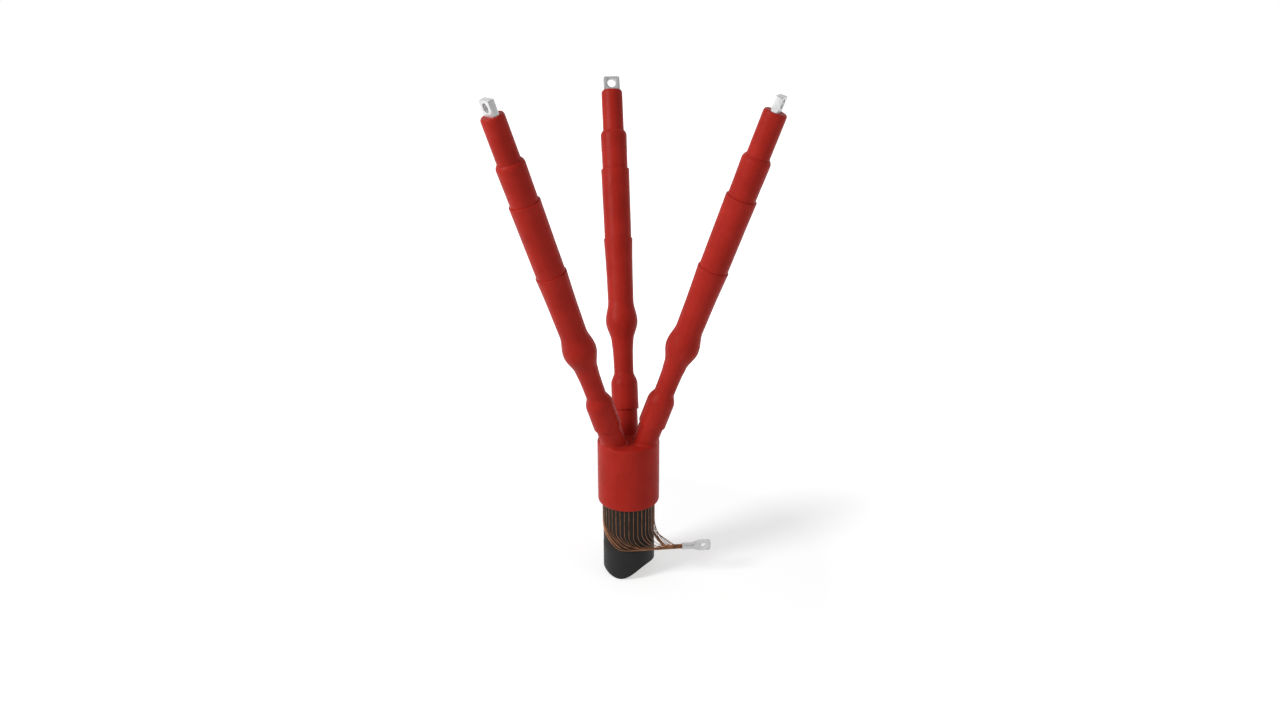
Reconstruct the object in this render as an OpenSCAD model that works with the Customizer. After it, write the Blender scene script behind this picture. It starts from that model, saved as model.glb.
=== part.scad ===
// Three-core heat-shrink cable termination: a cable stub, a red breakout boot, three sleeved cores with
// lugs, and the cable's screen wires gathered into an earth lug.
// Millimetres, +Z up along the cable. The origin is on the cable axis, level with the cut's lowest point.
// The rear core leans towards +Y. The earth lug points along +X.

/* [Cable] */
// Outer radius of the cable sheath
sheath_r = 32.6; // [26:0.1:40]
// Sheath wall thickness
sheath_wall = 3; // [2:0.1:4]
// Depth abraded off the sheath where the boot and the wires lie on it
abrade = 0.4; // [0.35:0.05:0.6]
// Wall of the bedding under the screen wires
bedding_wall = 2.9; // [2:0.1:3]
// Length of untouched sheath above the lowest point of the cut
clear_len = 39; // [38:0.5:41]
// Height of the sheath's upper end, inside the boot
sheath_top_z = 130; // [124:0.5:132]
// Half the height of the wave at the cut end
wave_amp = 9.1; // [4:0.1:9.5]
// Length of one wave
wave_len = 82.2; // [70:0.1:100]
// Place across the cable where the wave is lowest
wave_x = -17.4; // [-22:0.1:-12]

/* [Cores] */
// Conductor radius
conductor_r = 4.8; // [4:0.1:5.5]
// Insulation thickness
insulation_t = 4.6; // [4:0.1:5]
// Thickness of the semiconducting core screen
screen_t = 0.6; // [0.4:0.05:0.8]
// Gap between the cores in the cable
core_gap = 0.5; // [0.3:0.1:1]
// Lean of each core from the vertical
lean = 20; // [17:0.5:22]
// Length along the core, before and after its corner, over which it spreads inside the boot
bend_len = 17; // [14:0.5:18]
// Height where the three core lines meet on the cable axis
meet_z = 122.2; // [118:0.1:126]

/* [Screen wires] */
// Wire diameter
wire_d = 0.7; // [0.6:0.05:0.9]
// Radius of the bend where a wire turns towards the lug, in front of the cable
wire_bend = 16; // [13:0.5:17]
// Radius of the same bend on the lug's side of the cable
side_bend = 27; // [22:0.5:28]
// Height of the gathered wires above the lowest point of the cut
bundle_z = 45; // [44:0.1:48]
// Play between neighbouring wires
wire_gap = 0.06; // [0.03:0.01:0.1]

/* [Breakout boot] */
// Height of the boot's lower edge
boot_low_z = 100; // [96:0.5:104]
// Height of the boot's flat top
boot_top_z = 182.4; // [178:0.1:188]
// Boot wall thickness
boot_wall = 4.5; // [3.5:0.1:5.5]
// Thickness of the sealing mastic under the skirt
mastic_t = 0.8; // [0.5:0.05:1.2]
// Height of the sealing mastic under the skirt
mastic_len = 22; // [16:0.5:24]
// Finger wall thickness
finger_wall = 4.95; // [4:0.05:5.5]
// Distance along the core to the finger's end
finger_end = 124; // [118:0.5:126]

/* [Core sleeves] */
// Distance along the core to the lower tube's lower edge
lower_start = 92; // [86:0.5:98]
// Distance along the core to the lower tube's upper edge
lower_end = 306.4; // [302:0.1:310]
// Distance along the core to the middle sleeve's upper edge
middle_end = 393.4; // [388:0.1:398]
// Distance along the core to the upper sleeve's upper edge
upper_end = 441.2; // [436:0.1:446]
// Distance along the core to the lug sleeve's upper edge
sleeve_end = 491.5; // [485:0.5:497]
// Wall of the lower tube over the boot finger
lower_wall = 1.75; // [1.2:0.05:2.4]
// Wall of the lower tube on the neck
neck_wall = 2.2; // [1.6:0.05:2.8]
// Distance along the core to the middle of the bulge
bulge_at = 202.6; // [198:0.1:207]
// Rise of the stress mastic under the bulge
bulge_rise = 5.3; // [4:0.1:6]
// Length of the stress control tube below the middle of the bulge
stress_below = 24.6; // [22:0.1:28]
// Length of the bulge's upper side
bulge_above = 25.4; // [22:0.1:28]
// Length of the taper from the bulge's upper side to the straight stress control tube
stress_taper = 16; // [12:0.5:18]
// Wall of the stress control tube
stress_wall = 2.45; // [2:0.05:2.9]
// Wall of the lug sleeve
lug_sleeve_wall = 2.85; // [2.2:0.05:3.4]
// Wall of the upper sleeve over the lug sleeve
upper_wall = 3.2; // [2.6:0.05:3.8]
// Wall of the middle sleeve at its upper edge
middle_wall = 1.8; // [1.3:0.05:2.4]
// Wall of the lower tube at its upper edge
top_wall = 1.2; // [0.9:0.05:1.6]

/* [Phase lugs] */
// Wall of the lug barrel
lug_wall = 5.3; // [4.6:0.1:5.8]
// Palm width
palm_w = 20; // [17:0.1:22]
// Palm thickness
palm_t = 7.5; // [6:0.1:9]
// Palm height above the lug sleeve
palm_h = 17; // [16:0.5:22]
// Radius of the bolt hole in the palm
palm_hole_r = 5.25; // [4.25:0.05:5.5]

/* [Earth lug] */
// Wall of the earth lug barrel
earth_wall = 1.35; // [1:0.05:1.8]
// Distance from the cable axis to the barrel's mouth
earth_x = 63.5; // [62:0.5:70]
// Barrel length
earth_barrel = 13.5; // [12:0.5:18]
// Length of the flattened part between barrel and palm
earth_neck = 8; // [6:0.5:10]
// Palm length
earth_palm = 14.8; // [14:0.1:18]
// Palm width, across the hole
earth_palm_w = 13.9; // [12:0.1:16]
// Palm thickness
earth_palm_t = 3.2; // [2.4:0.1:3.6]
// Radius of the bolt hole
earth_hole_r = 3.3; // [2.6:0.05:3.6]

/* [Fits] */
// Radial clearance between pieces that lie on each other
fit_gap = 0.05; // [0.02:0.01:0.1]

/* [Hidden] */
// overshoot of cutting shapes
eps = 0.5;
// fineness of the round shapes
round_fn = 96;

// directions in which the cores lean
rear_az = 90;
left_az = 210;
right_az = 330;

// radii of the core's layers
insulation_r = conductor_r + insulation_t;
screen_r = insulation_r + screen_t;
stress_r = insulation_r + fit_gap + stress_wall;
lug_bore_r = conductor_r + 2 * fit_gap;
barrel_r = lug_bore_r + lug_wall;
lug_sleeve_r = barrel_r + fit_gap + lug_sleeve_wall;

// path of a core: upright in the cable, then two mitred bends in the boot, then straight along its lean
lay_r = (screen_r + core_gap / 2) * 2 / sqrt(3);
bend_low_z = meet_z + lay_r / tan(lean) - bend_len;
bend_high = lay_r / sin(lean) + bend_len;
bend_span = 2 * bend_len * cos(lean / 2);
mitre_lap = 0.1;

// distances along the core where the hidden ends lie
screen_end = bulge_at - 2.6;
stress_start = bulge_at - stress_below;
stress_end = middle_end + 2.6;
insulation_end = upper_end - 29.2;
barrel_start = insulation_end + 6;
conductor_end = sleeve_end - 25;
barrel_floor = conductor_end + 2;
sleeve_start = upper_end - 25.2;
seal_end = barrel_start + 14;
middle_start = bulge_at + bulge_above + stress_taper + 2;
upper_start = lower_end - 6.4;
neck_at = finger_end + 13.4;
palm_low = sleeve_end + 2 * fit_gap;
palm_top = palm_low + palm_h;
palm_hole_at = palm_top - 8;
flat_start = palm_low - 9;

// height of the cut end across the cable
function cut_z(x) = wave_amp * (1 - cos(360 * (x - wave_x) / wave_len));

// radii round the cable
abraded_r = sheath_r - abrade;
under_r = sheath_r - sheath_wall;
wire_pitch = wire_d + wire_gap;
// the ring keeps the wires' straight steps clear of the sheath
ring_r = abraded_r + wire_d / 2 + 0.18;
layer_r = under_r - wire_d / 2 - fit_gap;
bedding_r = layer_r - wire_d / 2 - fit_gap;
filler_r = bedding_r - bedding_wall - fit_gap;
bedding_top_z = sheath_top_z + 4;
mastic_low_r = ring_r + wire_d / 2 + fit_gap;
boot_bore_r = mastic_low_r + mastic_t + fit_gap;
boot_r = boot_bore_r + boot_wall;
boot_ceiling_z = boot_top_z - boot_wall;
boot_edge = 1.8;
finger_bore_r = screen_r + fit_gap;
finger_r = finger_bore_r + finger_wall;
finger_tip = 4;

// profiles of the core sleeves as [distance along the core, radius]
function ease(k) = (1 - cos(180 * k)) / 2;
function blend(a, b, k) = a + (b - a) * k;
function ramp(a, b, n) = [for (k = [1:n]) [blend(a[0], b[0], k / n), blend(a[1], b[1], ease(k / n))]];
function grown(path, by) = [for (p = path) [p[0], p[1] + by]];
function reversed(path) = [for (i = [len(path) - 1:-1:0]) path[i]];
function swapped(path) = [for (p = path) [p[1], p[0]]];

stress_low = [stress_start, screen_r + fit_gap + stress_wall];
stress_peak = [bulge_at, stress_low[1] + bulge_rise];
stress_rest = [bulge_at + bulge_above, stress_low[1] + bulge_rise * 0.25];
stress_top = [stress_rest[0] + stress_taper, stress_r];
stress_out = concat(
    [stress_low],
    ramp(stress_low, stress_peak, 8),
    ramp(stress_peak, stress_rest, 8),
    ramp(stress_rest, stress_top, 4),
    [[stress_end, stress_r]]
);
stress_steps = len(stress_out);

upper_r = lug_sleeve_r + fit_gap + upper_wall;
upper_low_r = upper_r - 0.5;
upper_tail_r = stress_r + 1.65;
upper_out = [
    [upper_start, upper_tail_r],
    [blend(upper_start, middle_end, 0.43), blend(upper_tail_r, upper_low_r, 0.2)],
    [blend(upper_start, middle_end, 0.70), blend(upper_tail_r, upper_low_r, 0.46)],
    [blend(upper_start, middle_end, 0.86), blend(upper_tail_r, upper_low_r, 0.76)],
    [middle_end, upper_low_r],
    [sleeve_start - 3, upper_r - 0.38],
    [sleeve_start, upper_r - 0.22],
    [sleeve_start + 9, upper_r - 0.15],
    [upper_end - 5.8, upper_r],
    [upper_end - 4.2, upper_r - 0.25],
    [upper_end - 2.4, upper_r - 0.95],
    [upper_end - 0.9, upper_r - 1.95],
    [upper_end, upper_r - 2.8]
];
upper_tail = [for (i = [0:4]) upper_out[i]];

middle_r = upper_low_r + fit_gap + middle_wall;
middle_low_r = middle_r - 0.85;
middle_tail_r = stress_r + 1.8;
middle_out = [
    [middle_start, middle_tail_r],
    [blend(middle_start, lower_end, 0.26), blend(middle_tail_r, middle_low_r, 0.16)],
    [blend(middle_start, lower_end, 0.58), blend(middle_tail_r, middle_low_r, 0.54)],
    [blend(middle_start, lower_end, 0.83), blend(middle_tail_r, middle_low_r, 0.83)],
    [lower_end, middle_low_r],
    [blend(lower_end, middle_end, 0.45), middle_r - 0.55],
    [middle_end - 8, middle_r - 0.15],
    [middle_end - 1, middle_r],
    [middle_end, middle_r - 0.4]
];
middle_tail = [for (i = [0:4]) middle_out[i]];

lower_r = finger_r + fit_gap + lower_wall;
neck_r = screen_r + fit_gap + neck_wall;
lower_low_r = neck_r + 1.45;
lower_peak = [bulge_at, stress_peak[1] + fit_gap + 2.2];
lower_rest = [stress_rest[0], stress_rest[1] + fit_gap + 2.2];
lower_top_r = middle_low_r + fit_gap + top_wall;
lower_out = concat(
    [
        [lower_start, lower_r],
        [finger_end, lower_r],
        [finger_end + 3.5, lower_r - 0.5],
        [finger_end + 7, blend(lower_r, neck_r, 0.4)],
        [finger_end + 10.5, blend(lower_r, neck_r, 0.76)],
        [neck_at, neck_r + 0.1],
        [neck_at + 3, neck_r],
        [neck_at + 13, neck_r + 0.1],
        [neck_at + 28, neck_r + 0.55],
        [stress_start - 2.6, lower_low_r]
    ],
    ramp([stress_start - 2.6, lower_low_r], lower_peak, 10),
    ramp(lower_peak, lower_rest, 10),
    [
        [blend(lower_rest[0], lower_end, 0.41), blend(lower_rest[1], lower_top_r, 0.23)],
        [blend(lower_rest[0], lower_end, 0.68), blend(lower_rest[1], lower_top_r, 0.5)],
        [blend(lower_rest[0], lower_end, 0.87), blend(lower_rest[1], lower_top_r, 0.8)],
        [lower_end - 0.8, lower_top_r],
        [lower_end, lower_top_r - 0.3]
    ]
);
lower_in = concat(
    [
        [lower_start, finger_r + fit_gap],
        [finger_end - finger_tip, finger_r + fit_gap],
        [finger_end + fit_gap, finger_r - 1.5 + fit_gap],
        [neck_at - 2, screen_r + fit_gap],
        [stress_start - fit_gap, screen_r + fit_gap],
        [stress_start - fit_gap, stress_low[1] + fit_gap]
    ],
    [for (i = [1:stress_steps - 2]) [stress_out[i][0], stress_out[i][1] + fit_gap]],
    [[middle_start - fit_gap, stress_r + fit_gap]],
    [[middle_start - fit_gap, middle_tail_r + fit_gap]],
    [for (i = [1:len(middle_tail) - 1]) [middle_tail[i][0], middle_tail[i][1] + fit_gap]]
);
middle_in = concat(
    [
        [middle_start, stress_r + fit_gap],
        [upper_start - fit_gap, stress_r + fit_gap],
        [upper_start - fit_gap, upper_tail_r + fit_gap]
    ],
    [for (i = [1:len(upper_tail) - 1]) [upper_tail[i][0], upper_tail[i][1] + fit_gap]]
);

// the sealing mastic fills the step between the insulation's end and the lug barrel
seal_r = stress_r - 0.05;
seal_low_r = barrel_r + fit_gap + 0.4;
seal_mid_r = barrel_r + 1.1;
seal_out = [
    [stress_end + fit_gap, seal_r],
    [sleeve_start - fit_gap, seal_r],
    [sleeve_start - fit_gap, seal_mid_r],
    [seal_end, seal_low_r]
];
seal_in = [
    [stress_end + fit_gap, insulation_r + fit_gap],
    [insulation_end + fit_gap, insulation_r + fit_gap],
    [insulation_end + fit_gap, conductor_r + fit_gap],
    [barrel_start - fit_gap, conductor_r + fit_gap],
    [barrel_start - fit_gap, barrel_r + fit_gap],
    [seal_end, barrel_r + fit_gap]
];
tail_in_r = seal_mid_r + fit_gap;
sleeve_out = [
    [sleeve_start, lug_sleeve_r - 0.35],
    [upper_end, lug_sleeve_r],
    [sleeve_end - 2.6, lug_sleeve_r],
    [sleeve_end - 1.2, lug_sleeve_r - 0.45],
    [sleeve_end, lug_sleeve_r - 1.5]
];
sleeve_in = [
    [sleeve_start, tail_in_r],
    [seal_end + fit_gap, seal_low_r + fit_gap],
    [seal_end + fit_gap, barrel_r + fit_gap],
    [sleeve_end, barrel_r + fit_gap]
];
upper_in = [
    [upper_start, stress_r + fit_gap],
    [sleeve_start - fit_gap, stress_r + fit_gap],
    [sleeve_start - fit_gap, sleeve_out[0][1] + fit_gap],
    [upper_end, lug_sleeve_r + fit_gap]
];

// screen wires: seven rows of four to seven wires fill the earth lug's barrel
wire_rows = 7;
mid_row = 3;
wire_n = 37;
wire_step = 360 / wire_n;
wire_first = 157;
bundle_y = -ring_r - 0.7;
wire_tip_x = earth_x + earth_barrel - 2;
// radii, seen from above, of the turns into the bundle, and where along the lug's direction these turns end
back_join_r = 14;
fan_join_r = 8;
gather_x = 37;
fan_x = 40;
fan_x_step = 1.4;
back_x = 52;
// the wires from the far side slant down round the front to this direction, one step further for each wire
gather_az = 244;
gather_step = 3;
gather_slope = 0.74;
// how far a bend is pulled into its corner: a quarter circle, and the longest slant
round_pull = 0.55;
slant_pull = 0.15;
slant_max = (gather_az - wire_first) * ring_r * PI / 180;

function row_size(row) = wire_rows - abs(row - mid_row);
function row_z(row) = bundle_z + (row - mid_row) * wire_pitch;
function even(row) = row_size(row) % 2 == 0;
function half(row) = floor(row_size(row) / 2);
function front_half(row) = row_size(row) - half(row);
function offset_of(row) = even(row) ? 0.5 : 0;
function in_row(row, h) = abs(h) < row_size(row) && (h + row_size(row) + 1) % 2 == 0;

// wires that pass in front of the cable, that go straight to the lug and that pass behind the cable,
// each as [row, layer, place across]
front_wires = [
    for (row = [0:mid_row])
        for (k = [0:front_half(row) - 1])
            [row, k, -k - offset_of(row)]
];
// the last three come round from behind, the furthest lowest and innermost
fan_row = mid_row + 1;
fan_span = row_size(fan_row) - 1;
fan_tail = [[fan_row + 1, 0, fan_span / 2 - 0.5], [fan_row, 1, fan_span / 2], [fan_row, 0, fan_span / 2 - 1]];
fan_wires = concat(
    [for (h = [-fan_span:fan_span - 2])
        for (row = [wire_rows - 1:-1:fan_row])
            if (in_row(row, h) && [row, 0, h / 2] != fan_tail[2])
                [row, 0, h / 2]],
    fan_tail
);
back_wires = [
    for (row = [0:mid_row])
        for (k = [0:half(row) - 1])
            [row, k, k + 1 - offset_of(row)]
];
front_n = len(front_wires);
fan_n = len(fan_wires);
back_n = len(back_wires);

// lift of a wire off the sheath onto its layer, as it comes down to its row
lift_from = 10 * wire_pitch;
lift_span = 7 * wire_pitch;
function lift(wire, z) =
    let (k = (row_z(wire[0]) + lift_from - z) / lift_span)
    wire[1] * wire_pitch * ease(min(1, max(0, k)));

// order in which the fan reaches the bundle: the innermost of the last two comes before the other
function fan_place(i) = i < fan_n - 2 ? i : 2 * fan_n - 3 - i;

// a wire's bend from upright to level as [run, drop, pull into the corner]
function front_bend(i, a) =
    let (
        run = max(wire_bend, (gather_az - a) * ring_r * PI / 180 + i * gather_step),
        k = min(1, (run - wire_bend) / (slant_max - wire_bend))
    )
    [run, max(wire_bend, run * gather_slope), blend(round_pull, slant_pull, k)];
function fan_bend(i) =
    let (r = blend(wire_bend, side_bend, min(1, i / (fan_n - wire_rows + 2))))
    [r, r, round_pull];

// plan of a wire: [start angle, turn on the sheath, heading after it, straight run, centre and radius of
// the turn into the bundle, bend]
function front_plan(wire, a, bend) =
    let (
        r = ring_r + wire[1] * wire_pitch,
        y = bundle_y + wire[2] * wire_pitch,
        reach = norm([gather_x, y]),
        heading = atan2(y, gather_x) + asin(r / reach),
        turn = heading + 270 - a
    )
    [a, turn, heading, sqrt(reach * reach - r * r), [0, 0], 0, bend];

function side_plan(wire, a, join_x, join_y, radius, bend) =
    let (
        r = ring_r + wire[1] * wire_pitch,
        centre = [join_x, join_y],
        reach = norm(centre),
        wrapped = atan2(centre[1], centre[0]) - asin((radius + r) / reach),
        edge = wrapped + 90 + 360,
        start = r * [cos(a), sin(a)],
        away = centre - start,
        free = atan2(away[1], away[0]) - asin(radius / norm(away))
    )
    a > edge
        ? [a, edge - a, wrapped, sqrt(reach * reach - (radius + r) * (radius + r)), centre, radius, bend]
        : [a, 0, free, sqrt(away * away - radius * radius), centre, radius, bend];

wires = concat(
    [for (i = [0:front_n - 1])
        let (wire = front_wires[i], a = wire_first + i * wire_step)
        [wire, front_plan(wire, a, front_bend(i, a))]],
    [for (i = [0:fan_n - 1])
        let (
            wire = fan_wires[i],
            a = wire_first + (front_n + i) * wire_step,
            y = bundle_y + wire[2] * wire_pitch + fan_join_r
        )
        [wire, side_plan(wire, a, fan_x + fan_place(i) * fan_x_step, y, fan_join_r, fan_bend(i))]],
    [for (i = [0:back_n - 1])
        let (
            wire = back_wires[i],
            a = wire_first + (wire_n - 1 - i) * wire_step,
            radius = back_join_r - wire[2] * wire_pitch,
            bend = [wire_bend, wire_bend, round_pull]
        )
        [wire, side_plan(wire, a, back_x, bundle_y + back_join_r, radius, bend)]]
);

function turn_len(wire, plan) = (ring_r + wire[1] * wire_pitch) * abs(plan[1]) * PI / 180;
function join_len(plan) = plan[5] * abs(plan[2]) * PI / 180;
function end_len(plan) = wire_tip_x - (plan[5] == 0 ? gather_x : plan[4][0]);
function plan_len(wire, plan) = turn_len(wire, plan) + plan[3] + join_len(plan) + end_len(plan);

// place and heading at length t along the plan, with the radius on the sheath given by the lift at height z
function heading_at(wire, plan, t) =
    let (a = turn_len(wire, plan), b = a + plan[3], c = b + join_len(plan))
    t < a ? plan[0] + plan[1] * t / a + (plan[1] > 0 ? 90 : -90)
    : t < b ? plan[2]
    : t < c ? plan[2] * (c - t) / (c - b)
    : 0;
function place_at(wire, plan, t, z) =
    let (
        a = turn_len(wire, plan),
        b = a + plan[3],
        c = b + join_len(plan),
        angle = plan[0] + plan[1] * (t < a ? t / a : 1),
        on_ring = (ring_r + lift(wire, z)) * [cos(angle), sin(angle)],
        h = plan[2] * (c - t) / max(c - b, wire_gap),
        y = bundle_y + wire[2] * wire_pitch
    )
    t < a ? on_ring
    : t < b ? on_ring + (t - a) * [cos(plan[2]), sin(plan[2])]
    : t < c ? plan[4] + plan[5] * [sin(h), -cos(h)]
    : [wire_tip_x - (c + end_len(plan) - t), y];

// point of a bend as [run, height], on a curve that leaves upright and ends level
function bend_at(bend, u) =
    let (free = 1 - bend[2], v = 1 - u)
    [bend[0] * (3 * v * u * u * free + u * u * u), bend[1] * (v * v * v + 3 * v * v * u * free)];

// stations of a wire as [length along the plan, height]
function stations(wire, plan) =
    let (
        z = row_z(wire[0]),
        a = turn_len(wire, plan),
        b = a + plan[3],
        c = b + join_len(plan),
        turns = ceil(abs(plan[1]) / 9),
        joins = ceil(abs(plan[2]) / 12),
        run = plan[6][0],
        bends = ceil(run / 8) + 4
    )
    concat(
        [for (k = [0:bends]) bend_at(plan[6], k / bends) + [0, z]],
        [for (k = [1:1:turns]) if (a * k / turns > run + 1) [a * k / turns, z]],
        plan[5] == 0 ? [[b, z]] : [for (k = [0:1:joins]) [b + (c - b) * k / joins, z]],
        [[plan_len(wire, plan), z]]
    );
function flat(heading) = [-sin(heading), cos(heading), 0];

// a wire as [point, side direction]: up under the sheath, folded over the sheath's end, down and to the lug
fold_z = sheath_top_z + 0.3;
fold_r = (ring_r - layer_r) / 2;
function spots(wire, plan) =
    let (
        out = [cos(plan[0]), sin(plan[0]), 0],
        round = [-sin(plan[0]), cos(plan[0]), 0],
        side = flat(heading_at(wire, plan, 0)),
        low_z = cut_z(layer_r * out[0]) + fit_gap
    )
    concat(
        [[layer_r * out + [0, 0, low_z], (side * round) * round - (side * out) * out]],
        [for (k = [0:5])
            let (turn = 36 * k, up = [0, 0, 1])
            [
                (layer_r + fold_r * (1 - cos(turn))) * out + (fold_z + fold_r * sin(turn)) * up,
                (side * round) * round + (side * out) * (sin(turn) * up - cos(turn) * out)
            ]],
        [for (s = stations(wire, plan))
            let (p = place_at(wire, plan, s[0], s[1]))
            [[p[0], p[1], s[1]], flat(heading_at(wire, plan, s[0]))]]
    );
function unit(v) = v / norm(v);

// rings of a swept wire, six corners each
wire_sides = 6;
function rings(list) = [
    for (i = [0:len(list) - 1])
        let (
            before = list[max(0, i - 1)][0],
            after = list[min(len(list) - 1, i + 1)][0],
            here = list[i][0],
            back = i > 0 ? unit(here - before) : [0, 0, 0],
            on = i < len(list) - 1 ? unit(after - here) : [0, 0, 0],
            along = unit(back + on),
            side = unit(list[i][1] - (list[i][1] * along) * along),
            up = cross(along, side)
        )
        for (k = [0:wire_sides - 1])
            here + wire_d / 2 * (cos(k * 360 / wire_sides) * side + sin(k * 360 / wire_sides) * up)
];
function faces(n, from) = concat(
    [[for (k = [0:wire_sides - 1]) from + k]],
    [for (i = [0:n - 2])
        for (k = [0:wire_sides - 1])
            let (
                a = from + i * wire_sides + k,
                b = from + i * wire_sides + (k + 1) % wire_sides
            )
            each [[a, a + wire_sides, b + wire_sides], [a, b + wire_sides, b]]],
    [[for (k = [wire_sides - 1:-1:0]) from + (n - 1) * wire_sides + k]]
);
wire_spots = [for (w = wires) spots(w[0], w[1])];
function count_before(i) = i == 0 ? 0 : count_before(i - 1) + len(wire_spots[i - 1]) * wire_sides;
wire_points = [for (list = wire_spots) each rings(list)];
wire_faces = [for (i = [0:len(wire_spots) - 1]) each faces(len(wire_spots[i]), count_before(i))];

// earth lug
earth_bore_r = norm([1.5, 3]) * wire_pitch + wire_d / 2 + fit_gap;
earth_r = earth_bore_r + earth_wall;
earth_palm_x = earth_x + earth_barrel + earth_neck;
earth_tip_x = earth_palm_x + earth_palm;
earth_hole_x = earth_tip_x - 9.2;

RED = [0.68, 0.15, 0.13];
BLACK = [0.13, 0.13, 0.13];
GREY = [0.3, 0.3, 0.3];
CREAM = [0.86, 0.84, 0.76];
COPPER = [0.66, 0.38, 0.24];
METAL = [0.8, 0.8, 0.8];
MASTIC = [0.75, 0.6, 0.2];

// frame of a core: Z along the core from the point where the cores meet, X outwards
module on_core(az) {
    rotate([0, 0, az])
        translate([0, 0, meet_z])
            rotate([0, lean, 0])
                children();
}

// the space below the wavy cut
module below_cut() {
    half = sheath_r + eps;
    steps = 30;
    rotate([90, 0, 0])
        linear_extrude(height = 2 * half, center = true)
            polygon(concat(
                [[-half, -2 * wave_amp], [half, -2 * wave_amp]],
                [for (k = [steps:-1:0]) let (x = -half + 2 * half * k / steps) [x, cut_z(x)]]
            ));
}

// ring or rod along Z
module ring(r_out, r_in, z0, z1) {
    translate([0, 0, z0])
        difference() {
            cylinder(r = r_out, h = z1 - z0, $fn = round_fn);
            if (r_in > 0)
                translate([0, 0, -eps])
                    cylinder(r = r_in, h = z1 - z0 + 2 * eps, $fn = round_fn);
        }
}

// everything above a mitre plane of the given tilt at the origin, less the lap that joins two lengths
module above(tilt) {
    side = 4 * screen_r;
    rotate([0, tilt, 0])
        translate([-side / 2, -side / 2, mitre_lap])
            cube(side);
}

// rod or tube along a core's path, from the given height in the cable to a distance along the core
module core_path(az, r_out, r_in, low, end) {
    over = screen_r;
    rotate([0, 0, az])
        translate([lay_r, 0, 0])
            difference() {
                ring(r_out, r_in, low, bend_low_z + over);
                translate([0, 0, bend_low_z])
                    above(lean / 4);
            }
    rotate([0, 0, az])
        translate([lay_r, 0, bend_low_z])
            rotate([0, lean / 2, 0])
                difference() {
                    ring(r_out, r_in, -over, bend_span + over);
                    rotate([180, 0, 0])
                        above(lean / 4);
                    translate([0, 0, bend_span])
                        above(lean / 4);
                }
    on_core(az)
        translate([0, 0, bend_high])
            difference() {
                ring(r_out, r_in, -over, end - bend_high);
                rotate([180, 0, 0])
                    above(lean / 4);
            }
}

// one layer of a core, with the cable's cut end
module core_layer(az, r_out, r_in, end) {
    difference() {
        core_path(az, r_out, r_in, 0, end);
        below_cut();
    }
}

// shell between two profiles, turned about the core
module shell(outside, inside) {
    rotate_extrude($fn = round_fn)
        polygon(concat(swapped(outside), swapped(reversed(inside))));
}

module stress_mastic_shape() {
    outside = [
        for (i = [1:stress_steps - 3])
            [stress_out[i][0], stress_out[i][1] - stress_wall - fit_gap]
    ];
    low = outside[0][0];
    high = outside[len(outside) - 1][0];
    inside = [
        [low, screen_r + fit_gap],
        [screen_end + fit_gap, screen_r + fit_gap],
        [screen_end + fit_gap, insulation_r + fit_gap],
        [high, insulation_r + fit_gap]
    ];
    shell(outside, inside);
}

module stress_tube_shape() {
    shell(stress_out, grown(stress_out, -stress_wall));
}

// a lug: round barrel with a blind bore, flats, and a palm across the lean with a bolt hole
module lug_shape() {
    corner = 2;
    difference() {
        union() {
            translate([0, 0, barrel_start])
                cylinder(r = barrel_r, h = palm_low + eps - barrel_start, $fn = round_fn);
            rotate([90, 0, 90])
                linear_extrude(height = palm_t, center = true)
                    polygon(concat(
                        [[-palm_w / 2, palm_low], [palm_w / 2, palm_low]],
                        [for (k = [0:5]) [
                            palm_w / 2 - corner + corner * cos(18 * k),
                            palm_top - corner + corner * sin(18 * k)
                        ]],
                        [for (k = [0:5]) [
                            -palm_w / 2 + corner - corner * sin(18 * k),
                            palm_top - corner + corner * cos(18 * k)
                        ]]
                    ));
        }
        translate([0, 0, barrel_start - eps])
            cylinder(r = lug_bore_r, h = barrel_floor - barrel_start + eps, $fn = round_fn);
        translate([0, 0, palm_hole_at])
            rotate([0, 90, 0])
                cylinder(r = palm_hole_r, h = palm_t + 2 * eps, center = true, $fn = round_fn);
        for (side = [0, 180])
            rotate([90, 0, side])
                linear_extrude(height = 3 * barrel_r, center = true)
                    polygon([
                        [palm_t / 2, palm_low],
                        [barrel_r + eps, flat_start],
                        [barrel_r + eps, palm_low + 2 * eps],
                        [palm_t / 2, palm_low + 2 * eps]
                    ]);
    }
}

// mastic that closes the lug sleeve's mouth over the two flats of the lug
module lug_mastic_shape() {
    flat_x = palm_t / 2 + 2 * fit_gap;
    intersection() {
        translate([0, 0, flat_start])
            cylinder(r = barrel_r, h = sleeve_end - flat_start, $fn = round_fn);
        union() {
            for (side = [0, 180])
                rotate([90, 0, side])
                    linear_extrude(height = 3 * barrel_r, center = true)
                        polygon([
                            [flat_x, palm_low],
                            [barrel_r + eps + 2 * fit_gap, flat_start],
                            [barrel_r + eps + 2 * fit_gap, palm_low]
                        ]);
        }
    }
}

module cable_sheath() {
    color(BLACK)
        difference() {
            rotate_extrude($fn = round_fn)
                polygon([
                    [under_r, -eps],
                    [sheath_r, -eps],
                    [sheath_r, clear_len],
                    [abraded_r, clear_len],
                    [abraded_r, sheath_top_z],
                    [under_r, sheath_top_z]
                ]);
            below_cut();
        }
}

module screen_wires() {
    color(COPPER)
        polyhedron(points = wire_points, faces = wire_faces, convexity = 10);
}

module bedding() {
    color(GREY)
        difference() {
            ring(bedding_r, filler_r + fit_gap, 0, bedding_top_z);
            below_cut();
        }
}

module core_filler() {
    color(CREAM)
        difference() {
            cylinder(r = filler_r, h = bedding_top_z, $fn = round_fn);
            for (az = [rear_az, left_az, right_az])
                rotate([0, 0, az])
                    translate([lay_r, 0, -eps])
                        cylinder(r = screen_r + fit_gap / 2, h = bedding_top_z + 2 * eps, $fn = round_fn);
            below_cut();
        }
}

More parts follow.
